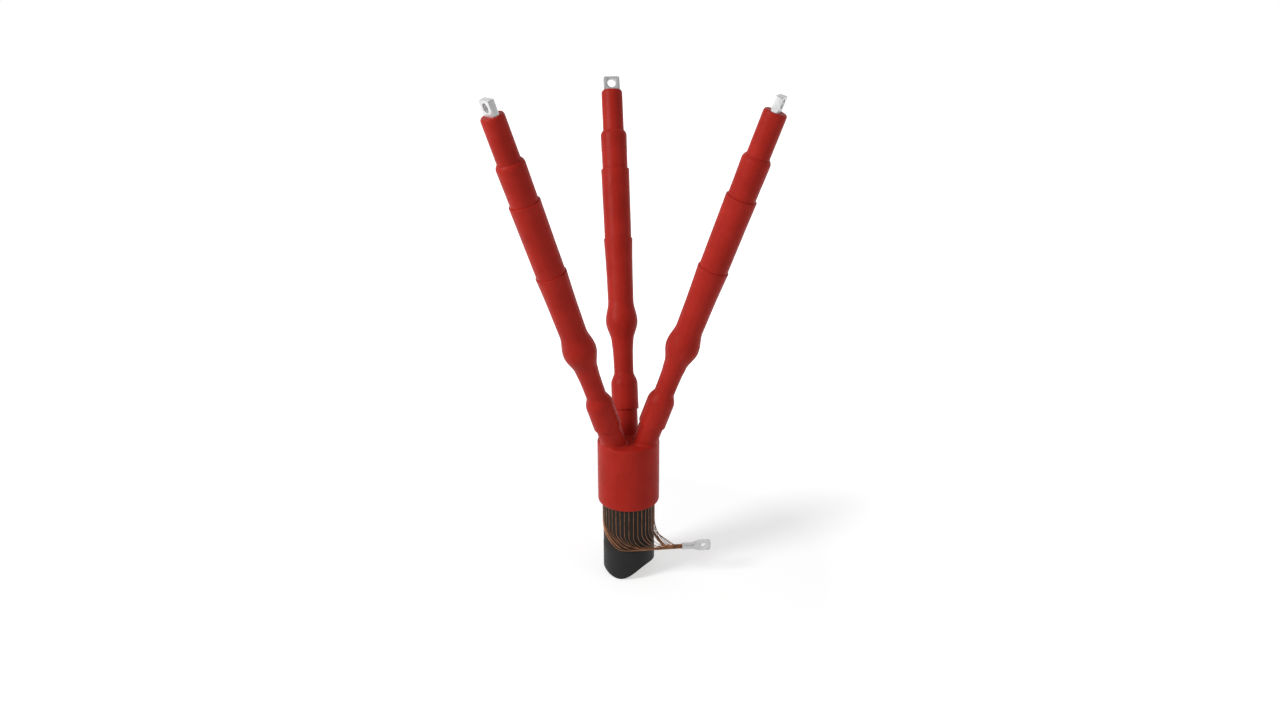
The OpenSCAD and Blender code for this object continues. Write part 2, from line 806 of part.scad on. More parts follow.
module breakout_boot() {
    color(RED)
        difference() {
            union() {
                rotate_extrude($fn = round_fn)
                    polygon([
                        [0, boot_low_z],
                        [boot_r - boot_edge, boot_low_z],
                        [boot_r - 0.3 * boot_edge, boot_low_z + 0.3 * boot_edge],
                        [boot_r, boot_low_z + boot_edge],
                        [boot_r, boot_top_z - boot_edge],
                        [boot_r - 0.3 * boot_edge, boot_top_z - 0.3 * boot_edge],
                        [boot_r - boot_edge, boot_top_z],
                        [0, boot_top_z]
                    ]);
                for (az = [rear_az, left_az, right_az])
                    on_core(az)
                        rotate_extrude($fn = round_fn)
                            polygon([
                                [0, bend_high],
                                [finger_r, bend_high],
                                [finger_r, finger_end - finger_tip],
                                [finger_r - 1.5, finger_end],
                                [0, finger_end]
                            ]);
            }
            translate([0, 0, boot_low_z - eps])
                cylinder(r = boot_bore_r, h = boot_ceiling_z - boot_low_z + eps, $fn = round_fn);
            for (az = [rear_az, left_az, right_az])
                on_core(az)
                    cylinder(r = finger_bore_r, h = finger_end + eps, $fn = round_fn);
        }
}

module boot_mastic() {
    color(MASTIC)
        translate([0, 0, boot_low_z + boot_edge])
            ring(boot_bore_r - fit_gap, mastic_low_r, 0, mastic_len);
}

module crotch_mastic() {
    color(MASTIC)
        difference() {
            translate([0, 0, bedding_top_z + fit_gap])
                cylinder(
                    r = boot_bore_r - fit_gap,
                    h = boot_ceiling_z - bedding_top_z - 2 * fit_gap,
                    $fn = round_fn
                );
            for (az = [rear_az, left_az, right_az])
                core_path(az, screen_r + fit_gap / 2, 0, bedding_top_z - eps, finger_end - eps);
        }
}

module earth_lug() {
    corner = 3;
    color(METAL)
        translate([0, bundle_y, bundle_z])
            difference() {
                union() {
                    translate([earth_x, 0, 0])
                        rotate([0, 90, 0])
                            cylinder(r = earth_r, h = earth_barrel, $fn = round_fn);
                    hull() {
                        translate([earth_x + earth_barrel - eps, 0, 0])
                            rotate([0, 90, 0])
                                cylinder(r = earth_r - fit_gap, h = eps, $fn = 48);
                        translate([earth_palm_x, fit_gap - earth_palm_t / 2, fit_gap - earth_palm_w / 2])
                            cube([eps, earth_palm_t - 2 * fit_gap, earth_palm_w - 2 * fit_gap]);
                    }
                    rotate([90, 0, 0])
                        linear_extrude(height = earth_palm_t, center = true)
                            polygon(concat(
                                [[earth_palm_x, earth_palm_w / 2], [earth_palm_x, -earth_palm_w / 2]],
                                [for (k = [0:5]) [
                                    earth_tip_x - corner + corner * sin(18 * k),
                                    -earth_palm_w / 2 + corner - corner * cos(18 * k)
                                ]],
                                [for (k = [0:5]) [
                                    earth_tip_x - corner + corner * cos(18 * k),
                                    earth_palm_w / 2 - corner + corner * sin(18 * k)
                                ]]
                            ));
                }
                translate([earth_x - eps, 0, 0])
                    rotate([0, 90, 0])
                        cylinder(r = earth_bore_r, h = earth_barrel - 1 + eps, $fn = round_fn);
                translate([earth_hole_x, 0, 0])
                    rotate([90, 0, 0])
                        cylinder(r = earth_hole_r, h = earth_palm_t + 2 * eps, center = true, $fn = round_fn);
            }
}

module rear_conductor() {
    color(COPPER) core_layer(rear_az, conductor_r, 0, conductor_end);
}

module rear_insulation() {
    color(CREAM) core_layer(rear_az, insulation_r, conductor_r + fit_gap, insulation_end);
}

module rear_core_screen() {
    color(BLACK) core_layer(rear_az, screen_r, insulation_r + fit_gap, screen_end);
}

module rear_stress_mastic() {
    color(MASTIC) on_core(rear_az) stress_mastic_shape();
}

module rear_stress_tube() {
    color(BLACK) on_core(rear_az) stress_tube_shape();
}

module rear_lower_tube() {
    color(RED) on_core(rear_az) shell(lower_out, lower_in);
}

module rear_middle_sleeve() {
    color(RED) on_core(rear_az) shell(middle_out, middle_in);
}

module rear_upper_sleeve() {
    color(RED) on_core(rear_az) shell(upper_out, upper_in);
}

module rear_lug_sleeve() {
    color(RED) on_core(rear_az) shell(sleeve_out, sleeve_in);
}

module rear_seal_mastic() {
    color(MASTIC) on_core(rear_az) shell(seal_out, seal_in);
}

module rear_lug_mastic() {
    color(RED) on_core(rear_az) lug_mastic_shape();
}

module rear_lug() {
    color(METAL) on_core(rear_az) lug_shape();
}

module left_conductor() {
    color(COPPER) core_layer(left_az, conductor_r, 0, conductor_end);
}

module left_insulation() {
    color(CREAM) core_layer(left_az, insulation_r, conductor_r + fit_gap, insulation_end);
}

module left_core_screen() {
    color(BLACK) core_layer(left_az, screen_r, insulation_r + fit_gap, screen_end);
}

module left_stress_mastic() {
    color(MASTIC) on_core(left_az) stress_mastic_shape();
}

module left_stress_tube() {
    color(BLACK) on_core(left_az) stress_tube_shape();
}

module left_lower_tube() {
    color(RED) on_core(left_az) shell(lower_out, lower_in);
}

module left_middle_sleeve() {
    color(RED) on_core(left_az) shell(middle_out, middle_in);
}

module left_upper_sleeve() {
    color(RED) on_core(left_az) shell(upper_out, upper_in);
}

module left_lug_sleeve() {
    color(RED) on_core(left_az) shell(sleeve_out, sleeve_in);
}

module left_seal_mastic() {
    color(MASTIC) on_core(left_az) shell(seal_out, seal_in);
}

module left_lug_mastic() {
    color(RED) on_core(left_az) lug_mastic_shape();
}

module left_lug() {
    color(METAL) on_core(left_az) lug_shape();
}

module right_conductor() {
    color(COPPER) core_layer(right_az, conductor_r, 0, conductor_end);
}

module right_insulation() {
    color(CREAM) core_layer(right_az, insulation_r, conductor_r + fit_gap, insulation_end);
}

module right_core_screen() {
    color(BLACK) core_layer(right_az, screen_r, insulation_r + fit_gap, screen_end);
}

module right_stress_mastic() {
    color(MASTIC) on_core(right_az) stress_mastic_shape();
}

module right_stress_tube() {
    color(BLACK) on_core(right_az) stress_tube_shape();
}

module right_lower_tube() {
    color(RED) on_core(right_az) shell(lower_out, lower_in);
}

module right_middle_sleeve() {
    color(RED) on_core(right_az) shell(middle_out, middle_in);
}

module right_upper_sleeve() {
    color(RED) on_core(right_az) shell(upper_out, upper_in);
}

module right_lug_sleeve() {
    color(RED) on_core(right_az) shell(sleeve_out, sleeve_in);
}

module right_seal_mastic() {
    color(MASTIC) on_core(right_az) shell(seal_out, seal_in);
}

module right_lug_mastic() {
    color(RED) on_core(right_az) lug_mastic_shape();
}

module right_lug() {
    color(METAL) on_core(right_az) lug_shape();
}

cable_sheath();
screen_wires();
bedding();
core_filler();
breakout_boot();
boot_mastic();
crotch_mastic();
earth_lug();
rear_conductor();
rear_insulation();
rear_core_screen();
rear_stress_mastic();
rear_stress_tube();
rear_lower_tube();
rear_middle_sleeve();
rear_upper_sleeve();
rear_lug_sleeve();
rear_seal_mastic();
rear_lug_mastic();
rear_lug();
left_conductor();
left_insulation();
left_core_screen();
left_stress_mastic();
left_stress_tube();
left_lower_tube();
left_middle_sleeve();
left_upper_sleeve();
left_lug_sleeve();
left_seal_mastic();
left_lug_mastic();
left_lug();
right_conductor();
right_insulation();
right_core_screen();
right_stress_mastic();
right_stress_tube();
right_lower_tube();
right_middle_sleeve();
right_upper_sleeve();
right_lug_sleeve();
right_seal_mastic();
right_lug_mastic();
right_lug();
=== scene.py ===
"""Looks of a three-core cable termination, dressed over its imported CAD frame.

Units are metres, in the CAD frame: +Z up along the cable, the rear core leaning towards +Y and the earth lug
pointing along +X.
"""
import math

import bpy
import numpy as np
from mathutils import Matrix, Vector, noise


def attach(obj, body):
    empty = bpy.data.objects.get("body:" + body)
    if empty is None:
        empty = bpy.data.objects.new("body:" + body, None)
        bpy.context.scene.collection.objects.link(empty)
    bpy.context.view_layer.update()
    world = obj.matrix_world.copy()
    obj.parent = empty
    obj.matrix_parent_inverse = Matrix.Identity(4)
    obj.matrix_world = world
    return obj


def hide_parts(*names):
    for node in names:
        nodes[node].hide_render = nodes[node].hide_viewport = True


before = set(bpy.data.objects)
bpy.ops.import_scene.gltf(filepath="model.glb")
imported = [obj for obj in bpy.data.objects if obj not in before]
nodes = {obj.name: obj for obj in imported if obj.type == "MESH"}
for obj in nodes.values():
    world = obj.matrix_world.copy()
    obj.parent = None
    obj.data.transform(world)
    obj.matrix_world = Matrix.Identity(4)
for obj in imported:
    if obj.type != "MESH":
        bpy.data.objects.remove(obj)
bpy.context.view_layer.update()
MM = 0.001
SHARP = math.radians(60)

# The cores: directions in plan, lean from the vertical, and the point where their lines meet
AZIMUTHS = {"rear": 90, "left": 210, "right": 330}
LEAN = math.radians(20)
MEET = np.array([0, 0, 122.2]) * MM

# The wave of the cable's cut end: z = amp * (1 - cos(2 pi (x - start) / length))
WAVE_AMP = 9.1 * MM
WAVE_LEN = 82.2 * MM
WAVE_X = -17.4 * MM

# The cable sheath's radii, levels and edge rounding
SHEATH_R = 32.6 * MM
SHEATH_ABRADED_R = 32.2 * MM
SHEATH_UNDER_R = 29.6 * MM
SHEATH_CLEAR = 39 * MM
SHEATH_TOP = 130 * MM
CUT_ROUNDING = 0.35 * MM
ABRADE_STEP = 0.4 * MM
SHEATH_SIDES = 192
SHEATH_ROWS = 12

# The screen wires, rebuilt round along the CAD wires' centre lines
WIRE_R = 0.35 * MM
WIRE_SIDES = 10
WIRE_STEP = 2.2 * MM
CAD_WIRE_SIDES = 6

# The conductors: where they lie in the cable, where they bend and end along their cores, and their strands
CORE_LAY_R = 11.8357 * MM
BEND_LOW_Z = 137.72 * MM
BEND_HIGH = 51.6 * MM
CONDUCTOR_END = 466.5 * MM
CONDUCTOR_R = 4.8 * MM
STRAND_R = CONDUCTOR_R / 5
STRAND_SIDES = 12

# Shrunk plastic: fineness of the turned sleeves, and how uneven shrinking leaves them
SLEEVE_SIDES = 112
SLEEVE_STEP = 1.4 * MM
RIPPLE = 0.09 * MM
RIPPLE_LEN = 16 * MM
RIPPLE_STRETCH = 0.6
RIPPLE_SINK = 0.6
EDGE_WAVER = 0.35 * MM
EDGE_REACH = 6 * MM
LIP = 0.9 * MM
LIP_WALL_SHARE = 0.7
LIP_CLEAR = 1.2
SLEEVES = ("lower_tube", "middle_sleeve", "upper_sleeve", "lug_sleeve")

# Rounding of the moulded boot and of the lugs' edges
BOOT_VOXEL = 1.05 * MM
BOOT_SMOOTHING = 9
LUG_EDGE = 0.4 * MM
EARTH_LUG_EDGE = 0.35 * MM
EDGE_SEGMENTS = 3
EDGE_ANGLE = math.radians(32)
WELD = 0.002 * MM

# The camera stands where the photograph was taken from
CAMERA_AT = (-0.12536, -1.10750, 0.69828)
CAMERA_PITCH = math.radians(20.309)
CAMERA_TURN = math.radians(-7.196)
CAMERA_LENS = 27.849

# The floor lies just clear of the cable's lowest point
FLOOR_BELOW = 0.2 * MM


# Meshes

def add_mesh(name, verts, faces, material):
    """A smooth-shaded mesh piece that rides with the part."""
    mesh = bpy.data.meshes.new(name)
    mesh.from_pydata([tuple(v) for v in verts], [], faces)
    mesh.polygons.foreach_set("use_smooth", [True] * len(mesh.polygons))
    mesh.set_sharp_from_angle(angle=SHARP)
    mesh.materials.append(material)
    piece = bpy.data.objects.new(name, mesh)
    bpy.context.scene.collection.objects.link(piece)
    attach(piece, "root")
    return piece


def grid_faces(rows, columns, closed_rows):
    """Quads of a grid of points that closes on itself round its columns, and round its rows if asked."""
    faces = []
    for i in range(rows if closed_rows else rows - 1):
        j = (i + 1) % rows
        for k in range(columns):
            m = (k + 1) % columns
            faces.append((i * columns + k, i * columns + m, j * columns + m, j * columns + k))
    return faces


def core_frame(az):
    """Axis of a core and two directions across it, as rows."""
    a = math.radians(az)
    out = np.array([math.cos(a), math.sin(a), 0])
    along = math.sin(LEAN) * out + np.array([0, 0, math.cos(LEAN)])
    across = np.array([-math.sin(a), math.cos(a), 0])
    return along, np.cross(across, along), across


def triangles_of(node):
    """Corner points of the node's triangles, as an array of n x 3 x 3."""
    mesh = nodes[node].data
    mesh.calc_loop_triangles()
    points = np.array([v.co for v in mesh.vertices])
    corners = np.array([t.vertices for t in mesh.loop_triangles])
    return points[corners]


def profiles_of(node, az):
    """Outer and inner profile of a turned CAD node, each as rows of [distance along the core, radius]."""
    along, *_ = core_frame(az)
    corners = triangles_of(node) - MEET
    normal = np.cross(corners[:, 1] - corners[:, 0], corners[:, 2] - corners[:, 0])
    normal /= np.maximum(np.linalg.norm(normal, axis=1), 1e-12)[:, None]
    distance = corners @ along
    radial = corners - distance[..., None] * along
    radius = np.linalg.norm(radial, axis=2)
    middle = radial.mean(axis=1)
    facing = (normal * middle).sum(axis=1) / np.linalg.norm(middle, axis=1)
    sides = []
    for chosen in (facing > 0.02, facing < -0.02):
        pairs = np.stack([distance[chosen].ravel(), radius[chosen].ravel()], axis=1)
        sides.append(np.unique(np.round(pairs, 6), axis=0))
    return sides


def smooth_profile(profile, step):
    """Points on the monotone cubic through a profile, about one step apart."""
    keep = np.concatenate([[True], np.diff(profile[:, 0]) > 1e-5])
    x, y = profile[keep].T
    slope = np.diff(y) / np.diff(x)
    bend = np.zeros(len(x))
    same = slope[1:] * slope[:-1] > 0
    both = slope[1:] + slope[:-1]
    bend[1:-1] = np.where(same, 2 * slope[1:] * slope[:-1] / np.where(same, both, 1), 0)
    bend[0], bend[-1] = slope[0], slope[-1]
    at = np.linspace(x[0], x[-1], max(2, int((x[-1] - x[0]) / step)))
    at = np.unique(np.concatenate([at, x]))
    i = np.clip(np.searchsorted(x, at, side="right") - 1, 0, len(x) - 2)
    h = np.diff(x)[i]
    t = (at - x[i]) / h
    value = (
        (1 + 2 * t) * (1 - t) ** 2 * y[i]
        + t * (1 - t) ** 2 * h * bend[i]
        + t ** 2 * (3 - 2 * t) * y[i + 1]
        + t ** 2 * (t - 1) * h * bend[i + 1]
    )
    return np.stack([at, value], axis=1)


def wander(point, seed):
    """Smooth noise between -1 and 1 that differs from seed to seed."""
    return noise.noise(Vector(point) + Vector((31.7 * seed, 17.3 * seed, 7.9 * seed)))


def lipped(outer, inner):
    """The outer profile with both ends rounded over towards the inner one."""
    turn = np.radians(np.arange(0, 91, 18))
    (low, low_r), (high, high_r) = outer[0], outer[-1]
    a = min(LIP, LIP_WALL_SHARE * (low_r - inner[0, 1]))
    b = min(LIP, LIP_WALL_SHARE * (high_r - inner[-1, 1]))
    low_r, high_r = np.interp((low + a, high - b), *outer.T)
    first = np.stack([low + a - a * np.cos(turn), low_r - a + a * np.sin(turn)], axis=1)
    last = np.stack([high - b + b * np.sin(turn), high_r - b + b * np.cos(turn)], axis=1)
    between = (outer[:, 0] > low + LIP_CLEAR * a) & (outer[:, 0] < high - LIP_CLEAR * b)
    return np.concatenate([first, outer[between], last])


def sleeve(core, kind, seed, material):
    """A shrunk sleeve: the CAD node's profile turned finely, with ripples and a cut edge that wavers."""
    node = f"{core}_{kind}"
    outer, inner = profiles_of(node, AZIMUTHS[core])
    outer = lipped(smooth_profile(outer, SLEEVE_STEP), inner)
    along, across, side = core_frame(AZIMUTHS[core])
    ring = np.concatenate([outer, inner[::-1]])
    low, high = ring[:, 0].min(), ring[:, 0].max()
    verts, local = [], []
    for i, (distance, radius) in enumerate(ring):
        outside = i < len(outer)
        for k in range(SLEEVE_SIDES):
            turn = 2 * math.pi * k / SLEEVE_SIDES
            x, y = math.cos(turn), math.sin(turn)
            r, d = radius, distance
            if outside:
                spot = (
                    x * radius / RIPPLE_LEN, y * radius / RIPPLE_LEN, RIPPLE_STRETCH * distance / RIPPLE_LEN
                )
                r += RIPPLE * (wander(spot, seed) - RIPPLE_SINK)
            edge = max(0, 1 - min(distance - low, high - distance) / EDGE_REACH)
            d += EDGE_WAVER * edge * edge * wander((1.3 * x, 1.3 * y, 0), seed + 0.5)
            verts.append(MEET + d * along + r * (x * across + y * side))
            local.append((x * radius, y * radius, distance))
    faces = grid_faces(len(ring), SLEEVE_SIDES, True)
    piece = add_mesh(f"{node}_shrunk", verts, faces, material)
    grain = piece.data.attributes.new("grain", "FLOAT_VECTOR", "POINT")
    grain.data.foreach_set("vector", np.array(local, np.float32).ravel())
    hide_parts(node)
    return piece


def cut_z(x):
    """Height of the cable's cut end across the cable."""
    return WAVE_AMP * (1 - math.cos(2 * math.pi * (x - WAVE_X) / WAVE_LEN))


def sheath(material):
    """The cable sheath, with its wavy cut end rounded a little."""
    b = CUT_ROUNDING
    from_cut = [(SHEATH_UNDER_R + b, 0), (SHEATH_R - b, 0), (SHEATH_R - 0.3 * b, 0.3 * b), (SHEATH_R, b)]
    above = [
        (SHEATH_R, SHEATH_CLEAR - ABRADE_STEP), (SHEATH_ABRADED_R, SHEATH_CLEAR + ABRADE_STEP),
        (SHEATH_ABRADED_R, SHEATH_TOP), (SHEATH_UNDER_R, SHEATH_TOP),
    ]
    turns = [2 * math.pi * k / SHEATH_SIDES for k in range(SHEATH_SIDES)]
    rows = []
    for r, up in from_cut:
        rows.append([(r, cut_z(r * math.cos(turn)) + up) for turn in turns])
    start = rows[-1]
    for i in range(1, SHEATH_ROWS):
        share = i / SHEATH_ROWS
        rows.append([(SHEATH_R, z + (SHEATH_CLEAR - ABRADE_STEP - z) * share) for _, z in start])
    for r, z in above:
        rows.append([(r, z)] * SHEATH_SIDES)
    rows.append([(SHEATH_UNDER_R, z) for _, z in start])
    verts = [(r * math.cos(turn), r * math.sin(turn), z) for row in rows for turn, (r, z) in zip(turns, row)]
    piece = add_mesh("cable_sheath_cut", verts, grid_faces(len(rows), SHEATH_SIDES, True), material)
    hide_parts("cable_sheath")
    return piece


def wire_lines():
    """Centre lines of the CAD wires, each from its cut end to the lug, found by walking from ring to ring."""
    corners = np.round(triangles_of("screen_wires"), 7)
    points, index = np.unique(corners.reshape(-1, 3), axis=0, return_inverse=True)
    near = [set() for _ in points]
    for a, b, c in index.reshape(-1, 3):
        near[a].update((b, c))
        near[b].update((a, c))
        near[c].update((a, b))
    lines, seen = [], set()
    for first in np.argsort(points[:, 2]):
        if first in seen:
            continue
        level = points[first, 2]
        ring = {first}
        for _ in range(CAD_WIRE_SIDES):
            ring |= {n for r in ring for n in near[r] if abs(points[n, 2] - level) < 1e-6}
        line = []
        while ring:
            seen |= ring
            line.append(points[sorted(ring)].mean(axis=0))
            ring = {n for r in ring for n in near[r]} - seen
        lines.append(np.array(line))
    return lines


def rounded_line(line, longest):
    """The line drawn as a smooth curve through its points, in steps of at most the given length."""
    ends = np.concatenate([[2 * line[0] - line[1]], line, [2 * line[-1] - line[-2]]])
    made = [line[0]]
    for a, b, c, d in zip(ends[:-3], ends[1:-2], ends[2:-1], ends[3:]):
        span = np.linalg.norm(c - b)
        before = (c - a) / max(np.linalg.norm(c - a), 1e-9) * span
        after = (d - b) / max(np.linalg.norm(d - b), 1e-9) * span
        steps = max(1, math.ceil(span / longest))
        for t in np.arange(1, steps + 1) / steps:
            made.append(
                (1 + 2 * t) * (1 - t) ** 2 * b + t * (1 - t) ** 2 * before
                + t * t * (3 - 2 * t) * c + t * t * (t - 1) * after
            )
    return np.array(made)


def screen_wires(material):
    """Round copper wires along the CAD wires' centre lines, each with its own shade."""
    verts, faces, shades = [], [], []
    for number, raw in enumerate(wire_lines()):
        line = rounded_line(raw, WIRE_STEP)
        tangent = np.gradient(line, axis=0)
        tangent /= np.linalg.norm(tangent, axis=1)[:, None]
        side = np.cross(tangent[0], (0.31, 0.87, 0.2))
        first = len(verts)
        shade = 0.5 + 0.5 * wander((number * 1.37, 0.4, 0.9), 2)
        for point, heading in zip(line, tangent):
            side = side - (side @ heading) * heading
            side /= np.linalg.norm(side)
            up = np.cross(heading, side)
            for k in range(WIRE_SIDES):
                turn = 2 * math.pi * k / WIRE_SIDES
                verts.append(point + WIRE_R * (math.cos(turn) * side + math.sin(turn) * up))
                shades.append(shade)
        rings = len(line)
        faces += [tuple(first + i for i in face) for face in grid_faces(rings, WIRE_SIDES, False)]
        faces.append(tuple(first + k for k in reversed(range(WIRE_SIDES))))
        faces.append(tuple(first + (rings - 1) * WIRE_SIDES + k for k in range(WIRE_SIDES)))
    piece = add_mesh("screen_wires_round", verts, faces, material)
    piece.data.attributes.new("shade", "FLOAT", "POINT").data.foreach_set("value", shades)
    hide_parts("screen_wires")
    return piece


def strands(core, seed, material):
    """A conductor's 19 strands, one inside six inside twelve, from the cable's cut end to the lug."""
    a = math.radians(AZIMUTHS[core])
    along, _, side = core_frame(AZIMUTHS[core])
    foot = CORE_LAY_R * np.array([math.cos(a), math.sin(a), 0])
    up = np.array([0, 0, 1])
    route = [foot, foot + BEND_LOW_Z * up, MEET + BEND_HIGH * along, MEET + CONDUCTOR_END * along]
    sloped = (route[2] - route[1]) / np.linalg.norm(route[2] - route[1])
    headings = [up, up + sloped, sloped + along, along]
    places = [(0, 0)]
    for count, reach in ((6, 2 * STRAND_R), (12, 4 * STRAND_R)):
        turns = [2 * math.pi * (k + 0.3 * count / 6) / count for k in range(count)]
        places += [(reach * math.cos(t), reach * math.sin(t)) for t in turns]
    verts, faces, shades = [], [], []
    for number, (u, v) in enumerate(places):
        first = len(verts)
        shade = 0.6 + 0.4 * wander((number * 1.91, 0.3, 0.7), seed)
        for i, (point, heading) in enumerate(zip(route, headings)):
            out = np.cross(side, heading / np.linalg.norm(heading))
            for k in range(STRAND_SIDES):
                turn = 2 * math.pi * k / STRAND_SIDES
                across = u + STRAND_R * math.cos(turn), v + STRAND_R * math.sin(turn)
                spot = point + across[0] * side + across[1] * out
                if i == 0:
                    spot[2] = cut_z(spot[0])
                verts.append(spot)
                shades.append(shade)
        faces += [tuple(first + i for i in face) for face in grid_faces(len(route), STRAND_SIDES, False)]
        faces.append(tuple(first + k for k in reversed(range(STRAND_SIDES))))
        faces.append(tuple(first + (len(route) - 1) * STRAND_SIDES + k for k in range(STRAND_SIDES)))
    piece = add_mesh(f"{core}_conductor_strands", verts, faces, material)
    piece.data.attributes.new("shade", "FLOAT", "POINT").data.foreach_set("value", shades)
    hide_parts(f"{core}_conductor")
    return piece


def soften(node, width):
    """Rounds a CAD node's sharp edges by modifiers, over its merged corners."""
    weld = nodes[node].modifiers.new("weld", "WELD")
    weld.merge_threshold = WELD
    bevel = nodes[node].modifiers.new("bevel", "BEVEL")
    bevel.width = width
    bevel.segments = EDGE_SEGMENTS
    bevel.limit_method = "ANGLE"
    bevel.angle_limit = EDGE_ANGLE
    bevel.harden_normals = False
    shade_smooth(node)


def shade_smooth(node):
    mesh = nodes[node].data
    mesh.polygons.foreach_set("use_smooth", [True] * len(mesh.polygons))


def mould(node, voxel, rounds):
    """Rounds a CAD node all over, as moulded and shrunk plastic is, by a fine remesh that is smoothed."""
    remesh = nodes[node].modifiers.new("remesh", "REMESH")
    remesh.mode = "VOXEL"
    remesh.voxel_size = voxel
    remesh.use_smooth_shade = True
    smooth = nodes[node].modifiers.new("smooth", "SMOOTH")
    smooth.factor = 0.5
    smooth.iterations = rounds


# Materials

class Shader:
    """A material's node tree, with short calls to add and join its nodes."""

    def __init__(self, name):
        self.material = bpy.data.materials.new(name)
        self.material.use_nodes = True
        self.tree = self.material.node_tree
        self.surface = self.tree.nodes["Principled BSDF"]

    def add(self, kind, **inputs):
        made = self.tree.nodes.new(kind)
        for name, value in inputs.items():
            socket = made.inputs[name.replace("_", " ")]
            if isinstance(value, bpy.types.NodeSocket):
                self.tree.links.new(value, socket)
            else:
                socket.default_value = value
        return made

    def place(self):
        return self.add("ShaderNodeTexCoord").outputs["Object"]

    def attribute(self, name, output):
        made = self.add("ShaderNodeAttribute")
        made.attribute_name = name
        return made.outputs[output]

    def stretched(self, vector, scale):
        return self.add("ShaderNodeMapping", Vector=vector, Scale=scale).outputs["Vector"]

    def noise(self, vector, scale, detail=3.0, roughness=0.55):
        made = self.add("ShaderNodeTexNoise", Vector=vector, Scale=scale, Detail=detail, Roughness=roughness)
        return made.outputs["Fac"]

    def ramp(self, value, *stops):
        made = self.add("ShaderNodeValToRGB", Fac=value)
        elements = made.color_ramp.elements
        while len(elements) < len(stops):
            elements.new(0.5)
        for element, (at, colour) in zip(elements, stops):
            element.position = at
            element.color = (*colour, 1)
        return made.outputs["Color"]

    def span(self, value, low, high, from_low=0.3, from_high=0.7):
        made = self.add("ShaderNodeMapRange", Value=value)
        made.inputs["From Min"].default_value = from_low
        made.inputs["From Max"].default_value = from_high
        made.inputs["To Min"].default_value = low
        made.inputs["To Max"].default_value = high
        return made.outputs["Result"]

    def mix(self, mode, share, a, b):
        made = self.tree.nodes.new("ShaderNodeMix")
        made.data_type = "RGBA"
        made.blend_type = mode
        for socket, value in ((made.inputs[0], share), (made.inputs[6], a), (made.inputs[7], b)):
            if isinstance(value, bpy.types.NodeSocket):
                self.tree.links.new(value, socket)
            else:
                socket.default_value = value
        return made.outputs[2]

    def sum(self, a, b, weight):
        made = self.add("ShaderNodeMath")
        made.operation = "MULTIPLY_ADD"
        self.tree.links.new(b, made.inputs[0])
        made.inputs[1].default_value = weight
        self.tree.links.new(a, made.inputs[2])
        return made.outputs[0]

    def finish(self, colour, roughness, height=None, relief=0.0, **constants):
        self.tree.links.new(colour, self.surface.inputs["Base Color"])
        self.tree.links.new(roughness, self.surface.inputs["Roughness"])
        if height is not None:
            bump = self.add("ShaderNodeBump", Height=height, Distance=relief)
            self.tree.links.new(bump.outputs["Normal"], self.surface.inputs["Normal"])
        for name, value in constants.items():
            self.surface.inputs[name.replace("_", " ")].default_value = value
        return self.material


def shrunk_red(name, along_core):
    """Satin red polyolefin: cloudy colour, a fine skin, and faint lines drawn along the tube."""
    s = Shader(name)
    place = s.attribute("grain", "Vector") if along_core else s.place()
    cloud = s.noise(s.place(), 34.0, 4.0)
    skin = s.noise(place, 950.0, 5.0, 0.6)
    lines = s.noise(s.stretched(place, (1.0, 1.0, 0.03)), 520.0, 3.0)
    base = s.ramp(
        cloud, (0.3, (0.4, 0.0185, 0.0112)), (0.52, (0.45, 0.0222, 0.0136)), (0.72, (0.49, 0.0265, 0.0168))
    )
    mottle = s.ramp(skin, (0.32, (0.93, 0.93, 0.93)), (0.68, (1.05, 1.05, 1.05)))
    drawn = s.ramp(lines, (0.35, (0.96, 0.96, 0.96)), (0.65, (1.03, 1.03, 1.03)))
    colour = s.mix("MULTIPLY", 1.0, s.mix("MULTIPLY", 1.0, base, mottle), drawn)
    roughness = s.span(s.noise(place, 160.0, 4.0), 0.4, 0.52)
    height = s.sum(skin, lines, 0.8)
    return s.finish(colour, roughness, height, 0.06 * MM, Specular_IOR_Level=0.1)


def sheath_black():
    """Extruded black sheath: lines along the cable, a little dust, and a darker, browner zone above the clear
    level that is painted shade under the boot and between the wires, with a rubbed tint.
    """
    s = Shader("sheath_black")
    place = s.place()
    lines = s.noise(s.stretched(place, (1.0, 1.0, 0.02)), 700.0, 4.0)
    cloud = s.noise(place, 60.0, 5.0, 0.6)
    skin = s.noise(place, 1200.0, 4.0)
    base = s.ramp(
        cloud, (0.3, (0.0155, 0.0158, 0.016)), (0.6, (0.019, 0.0192, 0.0192)), (0.78, (0.025, 0.025, 0.025))
    )
    # Painted shade: above the clear level the sheath turns darker and browner for the shade under the boot
    # and between the wires, with a rubbed tint as well.
    shade_and_rubbed = s.ramp(cloud, (0.3, (0.013, 0.009, 0.0065)), (0.7, (0.021, 0.0145, 0.0105)))
    level = s.add("ShaderNodeSeparateXYZ", Vector=place).outputs["Z"]
    above = s.span(level, 0.0, 1.0, SHEATH_CLEAR - 1 * MM, SHEATH_CLEAR + 5 * MM)
    base = s.mix("MIX", above, base, shade_and_rubbed)
    colour = s.mix("MULTIPLY", 1.0, base, s.ramp(lines, (0.3, (0.88, 0.88, 0.88)), (0.7, (1.1, 1.1, 1.1))))
    roughness = s.span(cloud, 0.42, 0.58)
    return s.finish(colour, roughness, s.sum(lines, skin, 0.5), 0.07 * MM, Specular_IOR_Level=0.18)


